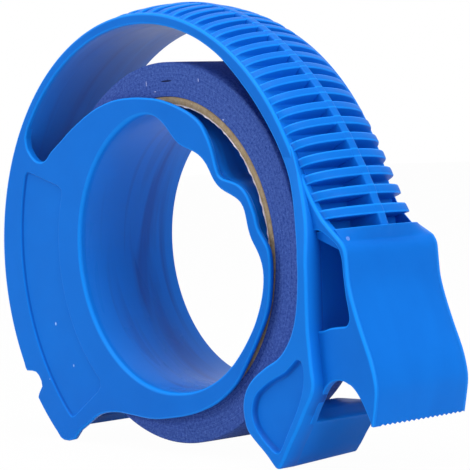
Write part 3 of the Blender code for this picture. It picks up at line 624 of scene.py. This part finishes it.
columns += [("turn", last_rib + (PLAIN_END - last_rib) * (step + 1) / PLAIN_COUNT, None, 0.0)
            for step in range(PLAIN_COUNT)]
half_rows = [RIB_HALF * math.cos(math.radians(turn))
             for turn in (0, 3, 6, 10, 15, 21, 28, 36, 45, 54, 63, 72, 79)]
half_rows += sorted(SPINE_ROWS, reverse=True)
offsets = [-value for value in half_rows] + half_rows[::-1][1:]
rows = [("out", BAND_FRONT, None, 0.0)]
rows += [("out", BAND_MIDDLE + offset, offset, 0.0) for offset in offsets]
rows += [("out", BAND_FAR - OUTER_ROUND * (1 - math.sin(turn)), None, OUTER_ROUND * (1 - math.cos(turn)))
         for turn in quarter_turn(4)]
rows += [("in", BAND_FAR, None, INNER_ROUND + FLAT_MARGIN)]
rows += [("in", BAND_FAR - INNER_ROUND * (1 - math.cos(turn)), None, INNER_ROUND * (1 - math.sin(turn)))
         for turn in quarter_turn(3)]
rows += [("in", BAND_MIDDLE, None, 0.0), ("in", BAND_FRONT_INSIDE, None, 0.0)]


def ribbed(row_offset, column):
    """Height of the grip over the band's plain face, for one row across it and one place along it."""
    kind, degrees, drop, lift = column
    if kind == "down" or row_offset is None or degrees < HOOD_START - 0.1 or degrees > last_rib:
        return 0.0
    flare = BAND_OUTER * (value_along(RIM_FLARE, degrees) - 1)
    crown = CROWN_HEIGHT * value_along(CROWN, degrees)
    swell = max(0.0, 1 - (row_offset / RIB_HALF) ** 2) ** value_along(CROWN_BEND, degrees)
    full = flare + RIB_STAND * min(1.0, swell * 4) + crown * swell
    if row_offset > SHOULDER:
        full *= math.sqrt(max(0.0, 1 - ((row_offset - SHOULDER) / SHOULDER_SPAN) ** 2))
    if drop is None:
        rib = min(lift, full * GAP_SHARE)
    else:
        rib = max(full - drop * min(1.0, full / FULL_RIB), 0.0)
    if degrees > last_rib - SPINE_STOP * per_mm:
        return rib
    spine_drop, spine_lift = SPINE_ROWS.get(round(abs(row_offset), 3), (None, 0.0))
    ridge = full + SPINE_RISE
    return max(rib, min(spine_lift, ridge) if spine_drop is None else ridge - spine_drop)


band = new_shape()
order = band.verts.layers.int["order"]
rim = band.verts.layers.float["rim"]
polish = band.verts.layers.float["polish"]
fresh, edges = closed_outline(band, [(0.0, 0.0, 0.0)] * len(rows))
bottom_edges = edges
for number, column in enumerate(columns):
    if number:
        fresh, edges = extruded(band, edges)
    kind, place, drop, _ = column
    for vert in fresh:
        side, depth, offset, inset = rows[vert[order]]
        if side == "out":
            radius = BAND_OUTER - inset + ribbed(offset, column)
            if kind == "turn" and place > HOOD_START - 0.1 and offset is None and depth > FAR_RIM_FROM:
                radius += value_along(FAR_FLARE, place)
        else:
            radius = BAND_INNER + inset
            # Polish on the inside face: more gloss, and painted reflection streaks.
            vert[polish] = 0.6
        if kind == "down":
            spot = Vector((BAND_X + radius, BAND_Z - place))
        else:
            spot = turned(radius, place, BAND_CENTRE)
            if NOTCH_FROM < place < NOTCH_TO:
                depth = max(depth, NOTCH_BACK)
        vert.co = (HUB_X + spot.x * MM, depth * MM, HUB_Z + spot.y * MM)
        # Painted highlight along the band's far rims and the top edges of the ribs.
        rib_edge = drop is not None and 0.0 < drop < RIM_LIGHT_DROP
        vert[rim] = 1.0 if 0 < inset <= INNER_ROUND else 0.8 * rib_edge
bmesh.ops.triangle_fill(band, edges=bottom_edges, use_beauty=True)
bmesh.ops.triangle_fill(band, edges=edges, use_beauty=True)
finish_piece(band, "grip_band", "applicator", blue)

# Head: the hood in front of the ribs and the long front wall down to the toothed cutting edge, one wall
# two millimetres thick that is thinned towards the teeth.
HEAD_NEAR, HEAD_ROOT, HEAD_FAR = -14.35, -13.4, 16.9
HEAD_MIDDLE, HEAD_HALF = 0.8, 14.35
HEAD_WALL, HEAD_ROUND = 2.1, 0.9
HOOD_SWELL, HOOD_FALL = 3.9, 4.1
HOOD_PARTS = ((0.0, 0.45), (0.006, 0.22), (0.02, 0.08), (0.05, 0.0), (0.2, 0.0), (0.4, 0.0), (0.6, 0.0),
              (0.8, 0.0), (0.93, 0.0))
FRONT_SWELL, SWELL_POINTS = 0.3, 6
THIN_SHARE, THIN_HEIGHT = 0.35, 6
RIDGE_RISE, RIDGE_HALF = 0.18, 1.3
FAR_DROP, FAR_DROP_FROM = 2.0, 8
TOOTH_COUNT, TOOTH_CUT, LAST_TOOTH = 20, 0.3, 1.5
start_rim = turned(BAND_OUTER * value_along(RIM_FLARE, HOOD_EDGE), HOOD_EDGE, BAND_CENTRE)
start_root = turned(BAND_OUTER - 1.6, HOOD_EDGE, BAND_CENTRE)
crease, crease_root = Vector((65.8, 2.9)), Vector((64.6, 1.0))
sections = []
for part, drop in HOOD_PARTS:
    rim_place = start_rim.lerp(crease, part)
    direction = (rim_place - Vector(BAND_CENTRE)).normalized()
    swell = HOOD_SWELL - HOOD_FALL * part - drop
    sections.append((rim_place, start_root.lerp(crease_root, part), direction, swell, 1 - part))
front = eased(HEAD_FRONT, closed=False)
for index, point in enumerate(front):
    before, after = front[max(index - 1, 0)], front[min(index + 1, len(front) - 1)]
    along = (after - before).normalized()
    outward = Vector((-along.y, along.x))
    if outward.x < 0:
        outward = -outward
    height = point.y - HEAD_FRONT[-1][1]
    thick = HEAD_WALL * min(1.0, THIN_SHARE + height / THIN_HEIGHT)
    swell = FRONT_SWELL * min(index / SWELL_POINTS, 1.0)
    sections.append((point, point - outward * thick, outward, swell, 0.0))
tooth = (HEAD_FAR - HEAD_NEAR) / TOOTH_COUNT
head_rows = [("out", HEAD_ROOT, 0.0)]
head_rows += [("out", HEAD_NEAR + tooth * step / 2, 0.0) for step in range(2, TOOTH_COUNT * 2 - 1)]
head_rows += [("out", HEAD_FAR - HEAD_ROUND * (1 - math.sin(turn)), HEAD_ROUND * (1 - math.cos(turn)))
              for turn in quarter_turn(4)[1:]]
head_rows += [("in", HEAD_FAR, 0.2), ("in", HEAD_FAR - 0.25, 0.0), ("in", HEAD_ROOT, 0.0)]


def swell_across(depth):
    """Share of the head's swell at a depth."""
    return math.sqrt(max(0.0, 1 - ((depth - HEAD_MIDDLE) / HEAD_HALF) ** 2))


head = new_shape()
order = head.verts.layers.int["order"]
rim = head.verts.layers.float["rim"]
fresh, edges = closed_outline(head, [(0.0, 0.0, 0.0)] * len(head_rows))
hood_edges = edges
for number, (surface, root, direction, swell, hood_share) in enumerate(sections):
    if number:
        fresh, edges = extruded(head, edges)
    at_teeth = number == len(sections) - 1
    for vert in fresh:
        side, depth, inset = head_rows[vert[order]]
        if side == "out":
            spot = surface + direction * (swell * swell_across(depth) - inset)
            if abs(depth - BAND_MIDDLE) < RIDGE_HALF:
                spot += direction * RIDGE_RISE * hood_share
            if depth > FAR_DROP_FROM:
                far_part = (depth - FAR_DROP_FROM) / (HEAD_FAR - FAR_DROP_FROM)
                spot -= direction * FAR_DROP * hood_share * far_part ** 2
            if at_teeth and vert[order] % 2 and depth < HEAD_FAR - LAST_TOOTH:
                spot = spot.lerp(sections[-2][0], TOOTH_CUT)
        else:
            spot = root + (surface - root).normalized() * inset
        vert.co = (HUB_X + spot.x * MM, depth * MM, HUB_Z + spot.y * MM)
        # Painted highlight along the far rounded rim and the hood's upper edge.
        vert[rim] = 0.9 if inset and side == "out" or number in (1, 2) else 0.0
bmesh.ops.triangle_fill(head, edges=hood_edges, use_beauty=True)
bmesh.ops.triangle_fill(head, edges=edges, use_beauty=True)
finish_piece(head, "head_front", "applicator", blue, sharp=50.0)

# Cheek: the side wall that stands proud of the frame, moulded with it, and runs from the band's rim down
# into the foot. A drop-shaped pocket is sunk in its face.
CHEEK = (
    (49.0, 26.0), (45.9, 26.0), (47.6, 22.5), (50.6, 14.5), (52.6, 6.0), (53.7, -1.0), (53.4, -8.0),
    (52.4, -14.0), (50.6, -18.8), (47.9, -22.5), (44.9, -25.0), (41.2, -26.8), (36.2, -29.9), (33.4, -33.0),
    (32.1, -36.6), (32.4, -40.3), (33.5, -43.1), (36.2, -45.5), (39.6, -48.1), (42.3, -50.6), (43.2, -51.3),
    (44.2, -51.3), (44.9, -50.7), (46.4, -48.8), (48.8, -45.1), (51.9, -40.8), (54.7, -36.3), (56.9, -33.1),
    (57.8, -30.2), (57.4, -26.7), (57.0, -22.0), (56.7, -17.4), (56.8, -10.3), (57.0, -2.0), (56.6, 6.1),
    (54.6, 14.0), (51.2, 22.5),
)
POCKET = (
    (52.3, -24.7), (53.8, -25.0), (54.5, -26.9), (54.3, -30.4), (53.1, -34.0), (51.1, -37.7), (48.3, -42.0),
    (45.9, -45.8), (44.8, -47.2), (43.7, -47.4), (42.3, -46.8), (38.8, -44.2), (36.3, -41.2), (35.6, -37.8),
    (36.9, -34.3), (39.7, -32.0), (43.5, -29.9), (47.5, -28.2), (50.3, -26.2),
)
CHEEK_NEAR, CHEEK_BACK = -17.85 * MM, -12.6 * MM
CHEEK_SLOPE, SLOPE_FROM = 0.146, -1.0
POCKET_DEPTH, POCKET_SLOPE = 1.3, 0.65
# The cheek's near face is painted lighter, and its root against the frame is painted shade.
CHEEK_FACE_LIGHT, CHEEK_ROOT_SHADE = 0.22, -0.9


def cheek_depth(point):
    """Near face of the cheek, which slopes back to the band's rim above the hub's height."""
    return CHEEK_NEAR + max(0.0, point.y - SLOPE_FROM) * CHEEK_SLOPE * MM


def cheek_round(point):
    """Round of the cheek's near rim, small where it runs out into the band."""
    return 0.75 if point.y < 18 else 0.3


cheek = new_shape()
wall(cheek, [(eased(CHEEK), True, cheek_round, 0.1)], cheek_depth, CHEEK_BACK,
     pockets=[(eased(POCKET), CHEEK_NEAR, POCKET_DEPTH, POCKET_SLOPE)],
     face_mark=CHEEK_FACE_LIGHT, far_mark=CHEEK_ROOT_SHADE)
painted_shade = cheek.verts.layers.float["painted_shade"]
# No painted shade where the cheek's root meets the foot.
for vert in cheek.verts:
    meets_foot = vert.co.z < HUB_Z - 39 * MM and vert.co.y > -13.5 * MM
    if meets_foot:
        vert[painted_shade] = 0.0
finish_piece(cheek, "cheek", "applicator", blue)

# Foot: the block under the cheek that presses the tape down, moulded with it and hollow on its far side.
# Its lower edge rises a little towards that side.
FOOT = (
    (33.8, -43.0), (35.9, -39.2), (37.6, -37.7), (39.5, -37.4), (43.0, -37.3), (48.6, -37.3), (50.7, -38.4),
    (52.1, -39.3), (52.6, -40.0), (51.9, -40.8), (48.8, -45.1), (46.4, -48.8), (44.9, -50.7), (44.2, -51.3),
    (43.2, -51.3), (42.3, -50.6), (39.6, -48.1), (36.2, -45.5),
)
FOOT_NEAR, FOOT_FAR = -13.0, 8.0
FOOT_WALL, FOOT_LIFT = 2.0, 1.0
LIFT_UNDER, LIFT_SPAN = -43.0, 7
foot_line, into_foot = into_material(eased(FOOT), True)
hollow_line = [point + step.normalized() * FOOT_WALL for point, step in zip(foot_line, into_foot)
               if point.y > -47.5 and 37.5 < point.x < 50.0]
foot = new_shape()
wall(foot, [(foot_line, True, 0.05, 0.2), (hollow_line, False, 0.05, 0.2)], FOOT_NEAR * MM, FOOT_FAR * MM)
cut_across(foot, (FOOT_FAR - 0.5) * MM)
for vert in foot.verts:
    share = (vert.co.y / MM - FOOT_NEAR) / (FOOT_FAR - FOOT_NEAR)
    low = clamped((LIFT_UNDER - (vert.co.z - HUB_Z) / MM) / LIFT_SPAN)
    vert.co.z += FOOT_LIFT * MM * share * share * low
finish_piece(foot, "foot", "applicator", blue)

# Roll: crepe paper tape wound on a core of brown board, which is lined with a ply of white paper. The roll
# hangs on the hub and turns on it, half a millimetre below its axis.
ROLL_X, ROLL_Z = HUB_X, 51.5 * MM
ROLL_NEAR, ROLL_FAR = -11.95 * MM, 13.45 * MM
TURNS_PER_METRE = 3200.0
FLECK_FINER = 2.3
paper_fibre, given, put_out = node_group("paper_fibre", (
    ("Vector", "Vector"), ("Colour", "Color"), ("Second", "Color"), ("Speck", "Color"),
    ("Fibre Scale", "Float"), ("Turn Share", "Float"),
), (("Colour", "Color"), ("Roughness", "Float"), ("Height", "Float")))
where = given["Vector"]
fibre = node(paper_fibre, "TexNoise", {"Vector": where, "Scale": given["Fibre Scale"], "Detail": 5.0,
                                       "Roughness": 0.7})
from_axis = node(paper_fibre, "Mapping", {"Vector": where, "Location": (-ROLL_X, 0.0, -ROLL_Z),
                                          "Scale": (1.0, 0.0, 1.0)})
radius = node(paper_fibre, "VectorMath", {0: from_axis.outputs[0]}, operation="LENGTH")
turns = node(paper_fibre, "TexNoise", {"W": radius.outputs["Value"], "Scale": TURNS_PER_METRE, "Detail": 2.0},
             noise_dimensions="1D")
woven = node(paper_fibre, "Mix", {"Factor": given["Turn Share"], "A": fibre.outputs[0],
                                  "B": turns.outputs[0]})
spread = node(paper_fibre, "MapRange", {"Value": woven.outputs[0], "From Min": 0.38, "From Max": 0.62})
ground = node(paper_fibre, "Mix", {"Factor": spread.outputs[0], "A": given["Colour"], "B": given["Second"]},
              data_type="RGBA")
finer = node(paper_fibre, "Math", {0: given["Fibre Scale"], 1: FLECK_FINER}, operation="MULTIPLY")
fleck = node(paper_fibre, "TexNoise", {"Vector": where, "Scale": finer.outputs[0], "Detail": 2.0})
picked = node(paper_fibre, "MapRange", {"Value": fleck.outputs[0], "From Min": 0.6, "From Max": 0.72,
                                        "To Min": 0.0, "To Max": 0.6})
flecked = node(paper_fibre, "Mix", {"Factor": picked.outputs[0], "A": ground.outputs["Result"],
                                    "B": given["Speck"]}, data_type="RGBA")
rough = node(paper_fibre, "MapRange", {"Value": fibre.outputs[0], "To Min": 0.68, "To Max": 0.9})
for source, name in ((flecked.outputs["Result"], "Colour"), (rough.outputs[0], "Roughness"),
                     (fibre.outputs[0], "Height")):
    paper_fibre.links.new(source, put_out[name])


def paper(name, colour, second, speck, fibre_scale, lift, turn_share=0.35):
    """Material of one layer of the roll: its colours, its specks, and how fine and high its fibres are."""
    material = bpy.data.materials.new(name)
    material.use_nodes = True
    tree = material.node_tree
    shader = tree.nodes["Principled BSDF"]
    finish = node(tree, "Group", {
        "Vector": node(tree, "TexCoord").outputs["Object"], "Colour": colour, "Second": second,
        "Speck": speck, "Fibre Scale": fibre_scale, "Turn Share": turn_share,
    }, node_tree=paper_fibre).outputs
    bump = node(tree, "Bump", {"Height": finish["Height"], "Strength": 0.7, "Distance": lift})
    tree.links.new(finish["Colour"], shader.inputs["Base Color"])
    tree.links.new(finish["Roughness"], shader.inputs["Roughness"])
    tree.links.new(bump.outputs[0], shader.inputs["Normal"])
    shader.inputs["Specular IOR Level"].default_value = 0.12
    return material


def ring(name, profile, steps, slot, material, waver):
    """Spin a closed profile of radius and depth about the roll's axis, and make it a little uneven."""
    mesh = new_shape()
    order = mesh.verts.layers.int["order"]
    verts, edges = closed_outline(mesh, [(ROLL_X + radius * MM, depth, ROLL_Z) for radius, depth in profile])
    bmesh.ops.spin(mesh, geom=verts + edges, cent=(ROLL_X, 0.0, ROLL_Z), axis=(0.0, 1.0, 0.0),
                   angle=math.tau, steps=steps, use_merge=True)
    for vert in mesh.verts:
        angle = math.atan2(vert.co.z - ROLL_Z, vert.co.x - ROLL_X)
        out, deep = waver(vert[order], angle)
        vert.co.x += out * math.cos(angle)
        vert.co.z += out * math.sin(angle)
        vert.co.y += deep
    return finish_piece(mesh, name, "tape_roll", material, sharp=35.0)


def both_faces(near_half, middle=()):
    """Profile from its near half, given as radii and depths behind the near face."""
    return ([(radius, ROLL_NEAR + depth * MM) for radius, depth in near_half] + list(middle)
            + [(radius, ROLL_FAR - depth * MM) for radius, depth in near_half[::-1]])


LAYERS, LAYERS_SPAN, LAYER_STEP = 26, 8.2, 0.05
WINDING_INNER, WINDING_OUTER = 40.05, 48.8
winding_half = [(WINDING_INNER + LAYERS_SPAN * step / LAYERS, LAYER_STEP if step % 2 else 0.0)
                for step in range(LAYERS)]
winding_profile = both_faces(winding_half + [(WINDING_OUTER - 0.3, 0.09), (WINDING_OUTER, 0.5)], [
    (WINDING_OUTER, ROLL_NEAR + (ROLL_FAR - ROLL_NEAR) * part / 6) for part in range(1, 6)])


def winding_waver(index, angle):
    """Slightly uneven winding: each layer stands a little in or out."""
    from_far = len(winding_profile) - 1 - index
    if index >= LAYERS and from_far >= LAYERS:
        return 0.05 * MM * (math.sin(angle * 7 + index) - 1) * (0.6 if index % 2 else 0.4), 0.0
    layer, side = (index, 1) if index < LAYERS else (from_far, -1)
    return 0.0, side * 0.025 * MM * (1 + math.sin(angle * (2 + layer % 3) + layer * 1.7))


crepe = paper("blue_crepe_tape", (0.014, 0.046, 0.25, 1.0), (0.068, 0.134, 0.45, 1.0),
              (0.14, 0.22, 0.6, 1.0), 1350.0, 0.00014, 0.25)
ring("tape_winding_wound", winding_profile, 180, "tape_winding", crepe, winding_waver)
board = paper("brown_core_board", (0.25, 0.18, 0.10, 1.0), (0.40, 0.31, 0.20, 1.0),
              (0.5, 0.42, 0.32, 1.0), 500.0, 0.0001)
board_profile = both_faces([(38.2, 0.1), (38.45, 0.0), (38.85, 0.06), (39.35, 0.0), (39.75, 0.08),
                            (39.95, 0.3)]) + [(38.2, ROLL_FAR - 1 * MM), (38.2, ROLL_NEAR + 1 * MM)]


def board_waver(index, angle):
    """Board cut a little unevenly."""
    return 0.0, 0.03 * MM * math.sin(angle * 9 + index * 2.1)


ring("core_board_wound", board_profile, 180, "core_board", board, board_waver)
liner_finish = paper("white_liner_paper", (0.62, 0.58, 0.68, 1.0), (0.82, 0.79, 0.88, 1.0),
                     (0.9, 0.88, 0.95, 1.0), 420.0, 0.0001)
liner_profile = both_faces([(37.9, 0.25), (37.95, -0.05), (38.12, -0.05), (38.15, 0.3)])
liner_profile[-1] = (37.9, ROLL_FAR - 0.2 * MM)
TORN_CORNERS = {1: -0.12, 6: 0.12}


def liner_waver(index, angle):
    """Torn edge of the liner, at the corner of each face that is nearest to the hub."""
    tear = math.sin(angle * 41) * math.sin(angle * 17 + 1.0) + 0.5 * math.sin(angle * 89 + 2.0)
    if index in TORN_CORNERS:
        return -0.1 * MM * max(tear, 0.0), TORN_CORNERS[index] * MM * tear
    return 0.0, 0.0


ring("core_liner_wound", liner_profile, 360, "core_liner", liner_finish, liner_waver)

# Marks of this roll: painted shade as a dark line in a slit between two turns, and a few pale specks of paper
# on the near face.
speckle(crepe, ROLL_NEAR, (
    (1.4, 43.4, 2.2, 0.24, (0.004, 0.008, 0.05, 1.0)), (-6.8, 43.1, 0.12, 0.7, (0.45, 0.5, 0.8, 1.0)),
    (-3.3, 40.9, 0.4, 0.12, (0.4, 0.45, 0.75, 1.0)), (14.1, 43.0, 0.14, 0.45, (0.4, 0.45, 0.75, 1.0)),
    (23.0, 32.8, 0.35, 0.2, (0.35, 0.4, 0.7, 1.0))))
for name, node_name in (("tape_winding_wound", "tape_winding"), ("core_board_wound", "core_board"),
                        ("core_liner_wound", "core_liner")):
    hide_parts(node_name)
